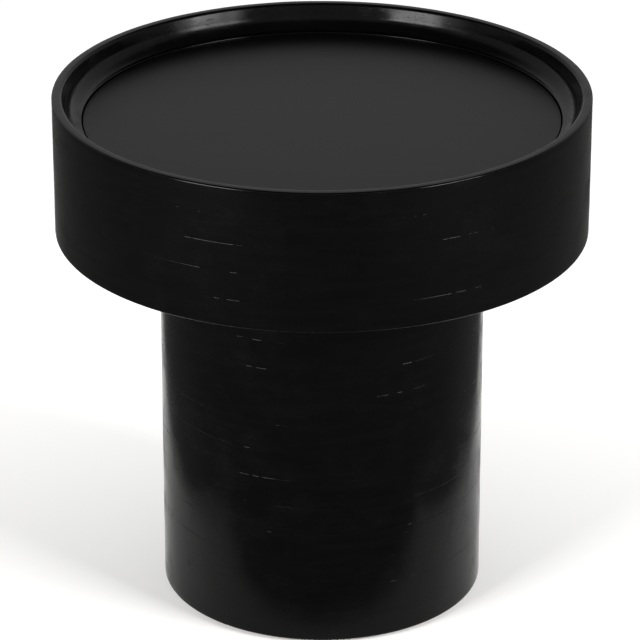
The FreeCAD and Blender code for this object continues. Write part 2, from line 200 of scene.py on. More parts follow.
def emboss(tree: Tree, shader: Node, *reliefs: tuple[Socket, float]) -> None:
    """Raise or sink a shader's surface by patterns laid one over the other.

    Args:
        tree: The material's node tree.
        shader: The shader.
        *reliefs: Each pattern and its height in millimetres, below zero where it sinks.
    """
    normal = None
    for pattern, height_mm in reliefs:
        given = {"Height": pattern, "Distance": abs(height_mm) * MM, "Strength": 1.0}
        if normal is not None:
            given["Normal"] = normal
        normal = add(tree, "Bump", given, invert=height_mm < 0).outputs[0]
    tree.links.new(normal, shader.inputs["Normal"])


@dataclass(frozen=True)
class Finish:
    """What a surface is made of, how that was made, and what it gives the eye."""

    name: str

    def dress(self, tree: Tree, shader: Node) -> None:
        """Add the finish's own nodes.

        Args:
            tree: The material's node tree.
            shader: The material's shader.
        """
        raise NotImplementedError

    def material(self) -> Material:
        """Build the material with its shader and output.

        Returns:
            The material.
        """
        material = bpy.data.materials.new(self.name)
        material.use_nodes = True
        tree = material.node_tree
        tree.nodes.clear()
        shader = add(tree, "BsdfPrincipled")
        add(tree, "OutputMaterial", {"Surface": shader.outputs["BSDF"]})
        self.dress(tree, shader)
        return material


@dataclass(frozen=True)
class Pattern:
    """A noise pattern, with features of one size or of a size along each axis."""

    size_mm: float | Triple
    detail: float
    span: Span | None = None
    distortion: float = 0.0
    space: Space = Space.OBJECT

    def lay(self, tree: Tree, target: Span = (0.0, 1.0)) -> Socket:
        """Add the pattern's nodes.

        Args:
            tree: The node tree that takes them.
            target: The values at the ends of the pattern's span, where it has one.

        Returns:
            The pattern's value.
        """
        if self.space is Space.BOARD:
            place = add(tree, "Attribute", attribute_name="grain").outputs["Vector"]
        else:
            place = add(tree, "TexCoord").outputs["Object"]
        scale = 1.0
        if isinstance(self.size_mm, tuple):
            stretch = {"Vector": place, "Scale": per_mm(*self.size_mm)}
            place = add(tree, "Mapping", stretch).outputs[0]
        else:
            scale = per_mm(self.size_mm)[0]
        value = add(tree, "TexNoise", {"Vector": place, "Scale": scale, "Detail": self.detail,
                                       "Distortion": self.distortion}).outputs[0]
        return ranged(tree, value, self.span, target) if self.span else value


@dataclass(frozen=True)
class LacqueredMango(Finish):
    """Mango wood, turned, stained black and sprayed with satin lacquer.

    The lacquer leaves the wide pores open, so light breaks along short level strokes, and the
    sanding leaves slow waves that make the broad highlights blotchy.
    """

    name: str = "mango_wood_black_satin_lacquer"
    dark: str = "#020202"
    pale: str = "#050404"
    specular: float = 0.1
    roughness: Span = (0.13, 0.31)
    figure: Pattern = Pattern((7.0, 160.0, 7.0), 4.0, (0.35, 0.7), space=Space.BOARD)
    # Real pores are about 0.2 mm wide; they are drawn at 0.9 mm so that they show at all
    pores: Pattern = Pattern((0.9, 14.0, 0.9), 2.0, (0.42, 0.3), space=Space.BOARD)
    pore_depth_mm: float = 0.006
    pore_roughness: float = 0.12
    checks: Pattern = Pattern((0.9, 7.0, 0.9), 3.0, (0.22, 0.16), space=Space.BOARD)
    check_depth_mm: float = 0.05
    dulled: Pattern = Pattern(34.0, 2.5, (0.42, 0.7))
    waves: Pattern = Pattern(45.0, 1.0)
    wave_depth_mm: float = 0.05

    def dress(self, tree: Tree, shader: Node) -> None:
        """Lay the grain along each block and the lacquer over them all.

        Args:
            tree: The material's node tree.
            shader: The material's shader.
        """
        paint(tree, shader, self.figure.lay(tree), self.dark, self.pale)
        pores = self.pores.lay(tree)
        rough = self.dulled.lay(tree, self.roughness)
        rough = reckon(tree, "MULTIPLY_ADD", pores, self.pore_roughness, rough)
        tree.links.new(rough, shader.inputs["Roughness"])
        emboss(tree, shader, (self.waves.lay(tree), self.wave_depth_mm),
               (pores, -self.pore_depth_mm), (self.checks.lay(tree), -self.check_depth_mm))
        shader.inputs["Specular IOR Level"].default_value = self.specular


@dataclass(frozen=True)
class PlainFinish(Finish):
    """A finish with a pattern for its colour, one for its relief and perhaps one for its gloss."""

    first: str
    second: str
    tone: Pattern
    relief: Pattern
    relief_mm: float
    roughness: float | Span
    gloss: Pattern | None = None
    specular: float = 0.5
    metallic: float = 0.0
    sheen: float = 0.0

    def dress(self, tree: Tree, shader: Node) -> None:
        """Colour, roughen and emboss the surface.

        Args:
            tree: The material's node tree.
            shader: The material's shader.
        """
        paint(tree, shader, self.tone.lay(tree), self.first, self.second)
        if self.gloss:
            tree.links.new(self.gloss.lay(tree, self.roughness), shader.inputs["Roughness"])
        else:
            shader.inputs["Roughness"].default_value = self.roughness
        emboss(tree, shader, (self.relief.lay(tree), self.relief_mm))
        shader.inputs["Specular IOR Level"].default_value = self.specular
        shader.inputs["Metallic"].default_value = self.metallic
        shader.inputs["Sheen Weight"].default_value = self.sheen


@dataclass(frozen=True)
class StainedMango(PlainFinish):
    """Mango wood as sawn, stained black but not lacquered: dry, brownish and streaked."""

    name: str = "mango_wood_sawn_black_stain"
    first: str = "#17120F"
    second: str = "#3A2C22"
    tone: Pattern = Pattern((5.0, 120.0, 5.0), 6.0, (0.3, 0.72), 0.6, Space.BOARD)
    # Saw marks
    relief: Pattern = Pattern((1.2, 60.0, 1.2), 3.0, space=Space.BOARD)
    relief_mm: float = 0.08
    roughness: float = 0.85


@dataclass(frozen=True)
class LacqueredPanel(PlainFinish):
    """Fine-grained board, sanded flat and sprayed with the same black satin lacquer.

    The flat shows a fine orange peel from the spray gun and hardly any grain.
    """

    name: str = "fine_board_black_satin_lacquer"
    first: str = "#050505"
    second: str = "#070707"
    tone: Pattern = Pattern((140.0, 5.0, 5.0), 5.0)
    # Orange peel
    relief: Pattern = Pattern(2.5, 1.0)
    relief_mm: float = 0.004
    roughness: Span = (0.29, 0.31)
    gloss: Pattern = Pattern((140.0, 5.0, 5.0), 5.0, (0.3, 0.7))
    specular: float = 0.08


@dataclass(frozen=True)
class SprayedBoard(PlainFinish):
    """Fibreboard under one thin black coat: dull, and faintly mottled where the fibres drank it."""

    name: str = "fibreboard_thin_black_coat"
    first: str = "#0F0E0D"
    second: str = "#201D1B"
    tone: Pattern = Pattern(14.0, 6.0, (0.35, 0.7))
    # Raised fibres
    relief: Pattern = Pattern(0.8, 2.0)
    relief_mm: float = 0.03
    roughness: float = 0.75


@dataclass(frozen=True)
class MachinedMetal(PlainFinish):
    """Machined metal, plated or bare: bright, with tool marks and slightly dulled patches."""

    tone: Pattern = Pattern(3.0, 4.0)
    # Tool marks
    relief: Pattern = Pattern(0.25, 1.0)
    relief_mm: float = 0.004
    roughness: Span = (0.28, 0.45)
    gloss: Pattern = Pattern(3.0, 4.0, (0.3, 0.7))
    metallic: float = 1.0


@dataclass(frozen=True)
class PressedFelt(PlainFinish):
    """Pressed wool felt, die cut: matte, with loose fibres that catch light at the edge."""

    name: str = "wool_felt_pressed_charcoal"
    first: str = "#1B1A1A"
    second: str = "#3B3937"
    tone: Pattern = Pattern(0.7, 5.0, distortion=1.5)
    # The fibres again
    relief: Pattern = Pattern(0.7, 5.0, distortion=1.5)
    relief_mm: float = 0.25
    roughness: float = 0.95
    sheen: float = 0.3


@dataclass
class Shell:
    """Vertices and faces on their way to becoming one piece."""

    points: list[Triple] = field(default_factory=list)
    grain: list[Triple] = field(default_factory=list)
    faces: list[tuple[int, ...]] = field(default_factory=list)
    slots: list[int] = field(default_factory=list)

    def face(self, corners: Sequence[int], slot: Face = Face.SHOWN) -> None:
        """Add one face in a finish."""
        self.faces.append(tuple(corners))
        self.slots.append(slot.value)

    def piece(self, name: str, nodes: Sequence[str], slot: str, materials: Sequence[Material],
              crease_degrees: float = 38.0) -> Object:
        """Turn the shell into a piece of the table that stands for its frame nodes.

        Args:
            name: The piece's name.
            nodes: The frame nodes that it stands for.
            slot: The name of a material slot; not used.
            materials: A material for each finish, in order.
            crease_degrees: Edges sharper than this stay crisp.

        Returns:
            The new object.
        """
        mesh = bpy.data.meshes.new(name)
        mesh.from_pydata(self.points, [], self.faces)
        for material in materials:
            mesh.materials.append(material)
        mesh.polygons.foreach_set("material_index", self.slots)
        if self.grain:
            layer = mesh.attributes.new("grain", "FLOAT_VECTOR", "POINT")
            layer.data.foreach_set("vector", [value for spot in self.grain for value in spot])
        mesh.shade_smooth()
        mesh.set_sharp_from_angle(angle=math.radians(crease_degrees))
        mesh.validate()
        made = bpy.data.objects.new(name, mesh)
        bpy.context.scene.collection.objects.link(made)
        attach(made, BODY)
        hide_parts(*nodes)
        LOG.info("%s: %d faces", name, len(mesh.polygons))
        return made


def polar(radius: float, angle: float) -> tuple[float, float]:
    """The point at a distance and an angle from an axis."""
    return radius * math.cos(angle), radius * math.sin(angle)


def quarter(centre: tuple[float, float], radius: float, start: float, end: float,
            steps: int) -> Profile:
    """Points of an arc in the half section.

    Args:
        centre: The radius and height of the arc's centre.
        radius: The arc's own radius.
        start: Where it starts, in degrees from straight out.
        end: Where it ends, in degrees from straight out.
        steps: How many chords it has.

    Returns:
        The points, both ends included.
    """
    turns = [math.radians(start + (end - start) * step / steps) for step in range(steps + 1)]
    return [(centre[0] + x, centre[1] + y) for x, y in (polar(radius, turn) for turn in turns)]


def ring_places(circle: float, count: int) -> Profile:
    """The places of like pieces, evenly round a circle."""
    return [polar(circle, FULL_TURN * place / count) for place in range(count)]


def spin(made: Shell, centre: tuple[float, float], radii: Sequence[Reach],
         heights: Sequence[float], columns: int) -> None:
    """Add a closed form round an upright axis, row by row, capped at both ends.

    Args:
        made: The shell that takes it.
        centre: Where the axis stands.
        radii: The radius of each row as a function of the angle.
        heights: The height of each row.
        columns: How many points go round.
    """
    first = len(made.points)
    for radius, height in zip(radii, heights, strict=True):
        for column in range(columns):
            angle = FULL_TURN * column / columns
            x, y = polar(radius(angle), angle)
            made.points.append((centre[0] + x, centre[1] + y, height))
    rows = len(heights)
    for row in range(rows - 1):
        for column in range(columns):
            after = (column + 1) % columns
            low, high = first + row * columns, first + (row + 1) * columns
            made.face((low + column, low + after, high + after, high + column))
    made.face([first + column for column in reversed(range(columns))])
    made.face([first + (rows - 1) * columns + column for column in range(columns)])


@dataclass(frozen=True)
class GlueLine:
    """The joint between two courses: mostly filled flush, and open in broken strokes."""

    half_width: float = 0.35 * MM
    depth: float = 0.17 * MM
    filled_depth: float = 0.015 * MM
    run_mm: float = 55.0
    stroke_mm: float = 4.5
    stroke_share: float = 0.75
    threshold: float = 0.22
    contrast: float = 3.0
    # Steps through the noise, which keep the joints and the two patterns apart
    run_step: float = 7.3
    stroke_step: float = 3.1
    stroke_start: float = 50.0
    # Where a lip turns over, as shares of the depth and of the half width
    bend_depth: float = 0.3
    bend_height: float = 0.35

    def open_depth(self, joint: int, angle: float, radius: float) -> float:
        """How deep the joint is open at one place.

        Args:
            joint: The joint's own number, which makes each differ.
            angle: The bearing round the table, in radians.
            radius: The radius of the turned face, in metres.

        Returns:
            The depth in metres.
        """
        spot = Vector((math.cos(angle), math.sin(angle), 0.0)) * radius / MM
        run_shift = Vector((0.0, 0.0, self.run_step * joint))
        stroke_shift = Vector((0.0, 0.0, self.stroke_step * joint + self.stroke_start))
        run = noise.noise(spot / self.run_mm + run_shift)
        stroke = noise.noise(spot / self.stroke_mm + stroke_shift)
        openness = (run + self.stroke_share * stroke - self.threshold) * self.contrast
        openness = min(max(openness, 0.0), 1.0)
        return self.filled_depth + (self.depth - self.filled_depth) * openness

    def lower_lip(self, radius: float, height: float, depth: float) -> Profile:
        """The upper edge of the course below the joint, going up.

        Args:
            radius: The radius of the turned face.
            height: The joint's height.
            depth: How deep the joint is open here.

        Returns:
            The points, from the face into the joint.
        """
        return [(radius, height - 2 * self.half_width), (radius, height - self.half_width),
                (radius - self.bend_depth * depth, height - self.bend_height * self.half_width),
                (radius - depth, height)]

    def upper_lip(self, radius: float, height: float, depth: float) -> Profile:
        """The lower edge of the course above the joint, which mirrors the lower lip."""
        return [(r, 2 * height - z) for r, z in reversed(self.lower_lip(radius, height, depth))]


@dataclass
class BlockRing:
    """One course of glued blocks, turned to a half section."""

    count: int
    columns: int
    glue_gap: float
    bond: Bond
    seed: int
    board_span: Span = (1.0, 9.0)

    def shell(self, outer_radius: float, section: Section) -> Shell:
        """Sweep every block of the ring as a closed shell.

        Args:
            outer_radius: The turned radius, in metres.
            section: Gives the half section anticlockwise from the lower outside.

        Returns:
            The shell of all blocks, with each block's own grain.
        """
        made = Shell()
        chance = random.Random(self.seed)
        width = FULL_TURN / self.count
        reach = width / 2 - self.glue_gap / 2 / outer_radius
        for block in range(self.count):
            middle = width * (block + self.bond.value)
            # A block cut from anywhere in the board, and as often end for end
            shift = Vector([chance.uniform(*self.board_span) for _ in range(3)])
            facing = chance.choice((-1.0, 1.0))
            first = len(made.points)
            rows = shown = 0
            for column in range(self.columns + 1):
                across = reach * (2 * column / self.columns - 1)
                bearing = middle + across
                profile, shown = section(bearing, across)
                rows = len(profile)
                for radius, height in profile:
                    made.points.append((*polar(radius, bearing), height))
                    x, y = polar(radius, across)
                    made.grain.append((x + shift.x, facing * y + shift.y, height + shift.z))
            for column in range(self.columns):
                here, there = first + column * rows, first + (column + 1) * rows
                for row in range(rows):
                    after = (row + 1) % rows
                    made.face((here + row, there + row, there + after, here + after),
                              Face.SHOWN if row < shown else Face.INNER)
            last = first + self.columns * rows
            made.face([first + row for row in range(rows)], Face.INNER)
            made.face([last + row for row in reversed(range(rows))], Face.INNER)
        return made


@dataclass
class TurnedStack:
    """Courses of glued blocks, stacked in bond and turned to one outside."""

    piece_name: str
    node_name: str
    radius: float
    bottom: float
    course_height: float
    courses: int
    blocks: int
    columns: int
    block_face: float
    first_joint: int
    first_seed: int
    foot_round: float = 2 * MM
    foot_steps: int = 6
    wall_shares: tuple[float, ...] = (0.3, 0.7)
    glue_gap: float = 0.1 * MM
    glue: GlueLine = field(default_factory=GlueLine)

    def low(self, index: int) -> float:
        """The height of a course's lower joint."""
        return self.bottom + index * self.course_height

    def foot(self, index: int, bearing: float) -> Profile:
        """The lower edge of a course: rounded on the lowest, and a joint on the others.

        Args:
            index: The course, from the lowest up.
            bearing: The bearing round the table, in radians.

        Returns:
            The points, going up.
        """
        low = self.low(index)
        if index == 0:
            centre = (self.radius - self.foot_round, low + self.foot_round)
            return quarter(centre, self.foot_round, -90, 0, self.foot_steps)
        depth = self.glue.open_depth(self.first_joint + index, bearing, self.radius)
        return self.glue.upper_lip(self.radius, low, depth)

    def head(self, index: int, bearing: float) -> Profile:
        """The upper edge of a course, going up into its joint."""
        depth = self.glue.open_depth(self.first_joint + index + 1, bearing, self.radius)
        return self.glue.lower_lip(self.radius, self.low(index + 1), depth)

    def wall(self, index: int, bearing: float) -> Profile:
        """The turned outside of a course, from its foot to its head."""
        middle = [(self.radius, self.low(index) + share * self.course_height)
                  for share in self.wall_shares]
        return self.foot(index, bearing) + middle + self.head(index, bearing)

    def flat(self, index: int) -> float:
        """How far the flat faces inside a course lie from the axis."""
        return self.block_face

    def inside(self, index: int, across: float) -> Profile:
        """The sawn inside of a course, going down.

        Args:
            index: The course, from the lowest up.
            across: The angle from the block's middle, in radians.

        Returns:
            The points of the block's flat face.
        """
        face = self.flat(index) / math.cos(across)
        return [(face, self.low(index + 1)), (face, self.low(index))]

    def shown_edges(self, index: int, points: int) -> int:
        """How many edges the outside shows: all but the one that lies in the joint."""
        return points - 1

    def section(self, index: int) -> Section:
        """The half section of one course.

        Args:
            index: The course, from the lowest up.

        Returns:
            A function of the bearing and of the angle from the block's middle.
        """
        def at(bearing: float, across: float) -> tuple[Profile, int]:
            """The closed half section at one place."""
            outside = self.wall(index, bearing)
            return outside + self.inside(index, across), self.shown_edges(index, len(outside))

        return at

    def build(self, lacquer: Material, stain: Material) -> Iterator[Object]:
        """Build each course as a piece.

        Args:
            lacquer: The finish of the turned faces.
            stain: The finish of the sawn faces inside.

        Yields:
            The courses, from the lowest up.
        """
        for index in range(self.courses):
            ring = BlockRing(self.blocks, self.columns, self.glue_gap, Bond.of_course(index),
                             self.first_seed + index)
            shell = ring.shell(self.radius, self.section(index))
            number = index + 1
            yield shell.piece(self.piece_name.format(number), [self.node_name.format(number)],
                              "black_lacquered_wood", [lacquer, stain])


@dataclass
class TrayDrum(TurnedStack):
    """The deep round drum: five courses, a coved lip, and rebates for the panel and the board."""

    piece_name: str = "drum_course_{}"
    node_name: str = "rim_course_{}"
    radius: float = 224.97 * MM
    bottom: float = 328 * MM
    course_height: float = 24 * MM
    courses: int = 5
    blocks: int = 12
    columns: int = 80
    block_face: float = 187 * MM
    first_joint: int = 0
    first_seed: int = 100
    lip_width: float = 9 * MM
    lip_outer_round: float = 1.5 * MM
    lip_outer_steps: int = 6
    lip_inner_round: float = 3 * MM
    lip_inner_steps: int = 7
    # Hand sanding takes a little more off the outer arris in some places than in others
    rubbed_share: float = 0.25
    rubbed_pitch: float = 6.0
    rubbed_level: float = 0.4
    cove_width: float = 15.5 * MM
    cove_radius: float = 14.3 * MM
    cove_flare: float = 12.0
    cove_end: float = 86.0
    cove_steps: int = 18
    cove_depth: float = 21 * MM
    cove_foot_round: float = 0.5 * MM
    cove_foot_steps: int = 3
    panel_bottom: float = 408 * MM
    board_rebate: float = 205 * MM
    board_top: float = 346 * MM

    def head(self, index: int, bearing: float) -> Profile:
        """The upper edge of a course: a joint, or the lip and cove on the top course.

        Args:
            index: The course, from the lowest up.
            bearing: The bearing round the table, in radians.

        Returns:
            The points, going up, and on the top course in and down to the panel's edge.
        """
        if index < self.courses - 1:
            return super().head(index, bearing)
        top = self.low(self.courses)
        spot = Vector((math.cos(bearing), math.sin(bearing), self.rubbed_level))
        rubbed = self.rubbed_share * noise.noise(spot * self.rubbed_pitch)
        arris = self.lip_outer_round * (1 + rubbed)
        wall = self.radius - self.lip_width
        foot = top - self.cove_depth
        inner = wall - self.cove_width
        eased = (wall + self.lip_inner_round, top - self.lip_inner_round)
        sill = (inner + self.cove_foot_round, foot - self.cove_foot_round)
        return (
            quarter((self.radius - arris, top - arris), arris, 0, 90, self.lip_outer_steps)
            + quarter(eased, self.lip_inner_round, 90, 180 - self.cove_flare,
                      self.lip_inner_steps)
            + quarter((inner, foot + self.cove_radius), self.cove_radius, -self.cove_flare,
                      -self.cove_end, self.cove_steps)
            + quarter(sill, self.cove_foot_round, 90, 180, self.cove_foot_steps)
        )

    def inside(self, index: int, across: float) -> Profile:
        """The sawn inside of a course, with the rebates that take the panel and the board.

        Args:
            index: The course, from the lowest up.
            across: The angle from the block's middle, in radians.

        Returns:
            The points, going down.
        """
        low, high = self.low(index), self.low(index + 1)
        face = self.flat(index) / math.cos(across)
        cove = self.radius - self.lip_width - self.cove_width
        if index == self.courses - 1:
            return [(cove, low)]
        if index == self.courses - 2:
            return [(cove, high), (cove, self.panel_bottom), (face, self.panel_bottom), (face, low)]
        if index == 0:
            return [(face, high), (face, self.board_top), (self.board_rebate, self.board_top),
                    (self.board_rebate, low)]
        return super().inside(index, across)

    def shown_edges(self, index: int, points: int) -> int:
        """How many edges the outside shows: on the top course, the cove's foot as well."""
        return points if index == self.courses - 1 else super().shown_edges(index, points)


@dataclass
class Pedestal(TurnedStack):
    """The hollow round pedestal: thirteen courses with flat block faces inside."""

    piece_name: str = "shaft_course_{:02d}"
    node_name: str = "pedestal_course_{:02d}"
    radius: float = 137.5 * MM
    bottom: float = 3 * MM
    course_height: float = 25 * MM
    courses: int = 13
    blocks: int = 8
    columns: int = 72
    block_face: float = 100 * MM
    first_joint: int = 20
    first_seed: int = 200
    head_face: float = 80 * MM

    def flat(self, index: int) -> float:
        """The head course reaches farther in, and so makes a shoulder for the plate."""
        return self.head_face if index == self.courses - 1 else self.block_face


@dataclass
class TrayFloor:
    """The flat round panel sunk inside the cove."""

    radius: float = 199.5 * MM
    bottom: float = 408 * MM
    top: float = 426 * MM
    edge_round: float = 0.6 * MM
    edge_steps: int = 5
    ring_shares: tuple[float, ...] = (0.98, 0.8, 0.5, 0.2)
    columns: int = 360

    def build(self, lacquer: Material) -> Object:
        """Build the panel with its eased edge.

        Args:
            lacquer: The panel's finish.

        Returns:
            The panel.
        """
        made = Shell()
        inner = self.radius - self.edge_round
        profile = [(inner, self.bottom), (self.radius, self.bottom + self.edge_round)]
        profile += quarter((inner, self.top - self.edge_round), self.edge_round, 0, 90,
                           self.edge_steps)
        profile += [(self.radius * share, self.top) for share in self.ring_shares]
        spin(made, (0.0, 0.0), [lambda angle, r=r: r for r, _ in profile],
             [z for _, z in profile], self.columns)
        return made.piece("tray_floor", ["tray_panel"], "black_panel", [lacquer])


@dataclass
class Fastener:
    """A ring of like screws or bolts that stand upright, head down."""

    node: str
    circle: float
    count: int
    head_bottom: float
    head_radius: float
    head_height: float
    shank_radius: float
    tip: float
    point: float
    point_share: float
    pitch: float
    thread_start: float
    drive: Drive
    drive_width: float
    drive_depth: float
    countersunk: bool
    columns: int = 48
    head_softness: float = 0.12
    soft_bend: float = 0.3
    eased: float = 0.1 * MM
    sunk_edge: float = 0.02 * MM
    recess_taper: float = 0.7
    cross_slimness: float = 7.0
    rows_per_turn: int = 5
    thread_share: float = 0.55
    crease_degrees: float = 30.0

    def recess(self, angle: float) -> float:
        """How far the drive recess reaches from the axis.

        Args:
            angle: The direction, in radians.

        Returns:
            The reach in metres.
        """
        if self.drive is Drive.HEX:
            flat = (angle + math.pi / 6) % (math.pi / 3) - math.pi / 6
            return self.drive_width / 2 / math.cos(flat)
        arm, half = self.drive_width / 2, self.drive_width / self.cross_slimness
        cosine, sine = (max(abs(f(angle)), 1e-6) for f in (math.cos, math.sin))
        return max(min(arm / cosine, half / sine), min(arm / sine, half / cosine))

    def rows(self) -> tuple[list[Reach], list[float]]:
        """The rows of one fastener, from the recess out and up to the tip.

        Returns:
            The radius of each row as a function of the angle, and the height of each row.
        """
        bottom, neck = self.head_bottom, self.head_bottom + self.head_height
        soft = self.head_softness * self.head_radius
        bend = self.soft_bend * soft
        radii: list[Reach] = [
            lambda angle: self.recess_taper * self.recess(angle),
            self.recess,
            lambda angle: self.recess(angle) + self.eased,
        ]
        heights = [bottom + self.drive_depth, bottom + self.eased, bottom]

        def plain(radius: float, height: float) -> None:
            """Add a round row."""
            radii.append(lambda angle: radius)
            heights.append(height)

        plain(self.head_radius - soft, bottom)
        plain(self.head_radius - bend, bottom + (0.0 if self.countersunk else bend))
        plain(self.head_radius, bottom + (self.sunk_edge if self.countersunk else soft))
        if not self.countersunk:
            plain(self.head_radius, neck - self.eased)
            plain(self.head_radius - self.eased, neck)
        plain(self.shank_radius, neck)
        plain(self.shank_radius, self.thread_start)
        depth = self.thread_share * self.pitch
        threaded = self.tip - self.point - self.thread_start
        for step in range(1, int(threaded / self.pitch * self.rows_per_turn)):
            height = self.thread_start + step * self.pitch / self.rows_per_turn

            def thread(angle: float, height: float = height) -> float:
                """The thread's flank at this height."""
                phase = (height / self.pitch + angle / FULL_TURN) % 1.0
                return self.shank_radius - depth * abs(2 * phase - 1)

            radii.append(thread)
            heights.append(height)
        plain(self.shank_radius - depth, self.tip - self.point)
        plain(self.point_share * self.shank_radius, self.tip)
        return radii, heights

    def build(self, metal: Material) -> Object:
        """Build the ring of fasteners as one piece.

        Args:
            metal: Their finish.

        Returns:
            The piece.
        """
        made = Shell()
        radii, heights = self.rows()
        for centre in ring_places(self.circle, self.count):
            spin(made, centre, radii, heights, self.columns)
        return made.piece(f"{self.node}_made", [self.node], "zinc_steel", [metal],
                          self.crease_degrees)


@dataclass
class RingFitting:
    """A ring of like bored fittings: washers or threaded inserts."""

    node: str
    slot: str
    circle: float
    count: int
    section: Profile
    columns: int = 48
    crease_degrees: float = 30.0

    def build(self, metal: Material) -> Object:
        """Build the ring of fittings as one piece.

        Args:
            metal: Their finish.

        Returns:
            The piece.
        """
        made = Shell()
        rows = len(self.section)
        for centre in ring_places(self.circle, self.count):
            middle = Vector((*centre, 0.0))
            first = len(made.points)
            for column in range(self.columns):
                angle = FULL_TURN * column / self.columns
                for radius, height in self.section:
                    made.points.append(tuple(middle + Vector((*polar(radius, angle), height))))
            for column in range(self.columns):
                here, there = first + column * rows, first + (column + 1) % self.columns * rows
                for row in range(rows):
                    after = (row + 1) % rows
                    made.face((here + row, there + row, there + after, here + after))
        return made.piece(f"{self.node}_made", [self.node], self.slot, [metal], self.crease_degrees)


@dataclass
class Fastenings:
    """Everything that holds the drum to the pedestal, and the boards to the wood."""

    tray_bottom: float = 328 * MM
    plate_bottom: float = 285 * MM
    eased: float = 0.25 * MM
    bolt_circle: float = 55 * MM
    bolt_count: int = 4
    bolt_head: float = 8 * MM
    bolt_reach: float = 13 * MM
    bolt_plain: float = 24 * MM
    board_screw_circle: float = 199.3 * MM
    board_screw_count: int = 12
    plate_screw_circle: float = 89.7 * MM
    plate_screw_count: int = 8
    screw_length: float = 35 * MM
    screw_plain: float = 10 * MM
    washer_thickness: float = 1.6 * MM
    washer_bore: float = 4.2 * MM
    washer_radius: float = 10 * MM
    insert_bore: float = 4.1 * MM
    insert_radius: float = 6 * MM
    insert_length: float = 15 * MM
    flange_radius: float = 8 * MM
    flange_thickness: float = 1.5 * MM

    def bolts(self) -> Fastener:
        """The socket-head bolts that clamp the drum to the pedestal.

        Returns:
            The ring of bolts.
        """
        washer = self.plate_bottom - self.washer_thickness
        return Fastener(
            node="clamp_bolts", circle=self.bolt_circle, count=self.bolt_count,
            head_bottom=washer - self.bolt_head, head_radius=6.5 * MM, head_height=self.bolt_head,
            shank_radius=4 * MM, tip=self.tray_bottom + self.bolt_reach, point=0.8 * MM,
            point_share=0.7, pitch=1.25 * MM, thread_start=washer + self.bolt_plain,
            drive=Drive.HEX, drive_width=6 * MM, drive_depth=4 * MM, countersunk=False)

    def washer_section(self) -> Profile:
        """The half section of a washer, its lower edges eased.

        Returns:
            The points, from the bore's foot out and up.
        """
        low, high = self.plate_bottom - self.washer_thickness, self.plate_bottom
        bore, rim = self.washer_bore, self.washer_radius
        return [(bore, low + self.eased), (bore + self.eased, low), (rim - self.eased, low),
                (rim, low + self.eased), (rim, high), (bore, high)]

    def insert_section(self) -> Profile:
        """The half section of a flanged insert, its edges eased.

        Returns:
            The points, from the bore's foot out and up.
        """
        low, high = self.tray_bottom, self.tray_bottom + self.insert_length
        step = low + self.flange_thickness
        bore, rim, flange = self.insert_bore, self.insert_radius, self.flange_radius
        return [(bore, low + self.eased), (bore + self.eased, low), (flange - self.eased, low),
                (flange, low + self.eased), (flange, step), (rim, step), (rim, high - self.eased),
                (rim - self.eased, high), (bore, high)]

    def build(self, zinc: Material, brass: Material) -> Iterator[Object]:
        """Build the bolts, screws, washers and inserts.

        Args:
            zinc: The finish of the steel.
            brass: The finish of the inserts.

        Yields:
            Each ring of fasteners.
        """
        yield self.bolts().build(zinc)
        for node, circle, bottom, count in (
            ("board_screws", self.board_screw_circle, self.tray_bottom, self.board_screw_count),
            ("plate_screws", self.plate_screw_circle, self.plate_bottom, self.plate_screw_count),
        ):
            yield Fastener(
                node=node, circle=circle, count=count, head_bottom=bottom, head_radius=4 * MM,
                head_height=2.4 * MM, shank_radius=2 * MM, tip=bottom + self.screw_length,
                point=5 * MM, point_share=0.15, pitch=1.8 * MM,
                thread_start=bottom + self.screw_plain, drive=Drive.CROSS, drive_width=4.4 * MM,
                drive_depth=1.5 * MM, countersunk=True, columns=40).build(zinc)
        yield RingFitting("bolt_washers", "zinc_steel", self.bolt_circle, self.bolt_count,
                          self.washer_section()).build(zinc)
        yield RingFitting("threaded_inserts", "brass", self.bolt_circle, self.bolt_count,
                          self.insert_section()).build(brass)


@dataclass
class FeltPads:
    """Four die-cut felt pads under the pedestal's foot."""

    circle: float = 118.75 * MM
    radius: float = 15 * MM
    thickness: float = 3 * MM
    count: int = 4
    columns: int = 96
    # Each row's shares of the radius and of the thickness: the sole is worn round
    rows: tuple[tuple[float, float], ...] = (
        (0.9, 0.0), (0.965, 0.05), (0.99, 0.2), (1.0, 0.5), (0.995, 0.85), (0.98, 1.0))
    fray_share: float = 0.008
    fray_pitch: float = 9.0
    fray_level_step: float = 4.0
    fray_pad_step: float = 11.0
    crease_degrees: float = 60.0

    def frayed(self, place: int, share: float, level: float) -> Reach:
        """The ragged outline of one row of one pad.

        Args:
            place: The pad's number, which makes each differ.
            share: The row's share of the radius.
            level: The row's share of the thickness.

        Returns:
            The radius as a function of the angle.
        """
        height = self.fray_level_step * level + self.fray_pad_step * place

        def reach(angle: float) -> float:
            """The radius in one direction."""
            spot = Vector((*polar(self.fray_pitch, angle), height))
            return self.radius * (share - self.fray_share * (1 + noise.noise(spot)))

        return reach

    def build(self, felt: Material) -> Object:
        """Build the pads, their cut edges frayed and their soles worn round.

        Args:
            felt: Their finish.

        Returns:
            The piece.
        """
        made = Shell()
        heights = [level * self.thickness for _, level in self.rows]
        for place, centre in enumerate(ring_places(self.circle, self.count)):
            spin(made, centre, [self.frayed(place, *row) for row in self.rows], heights,
                 self.columns)
        return made.piece("felt_pads_made", ["felt_pads"], "felt", [felt], self.crease_degrees)


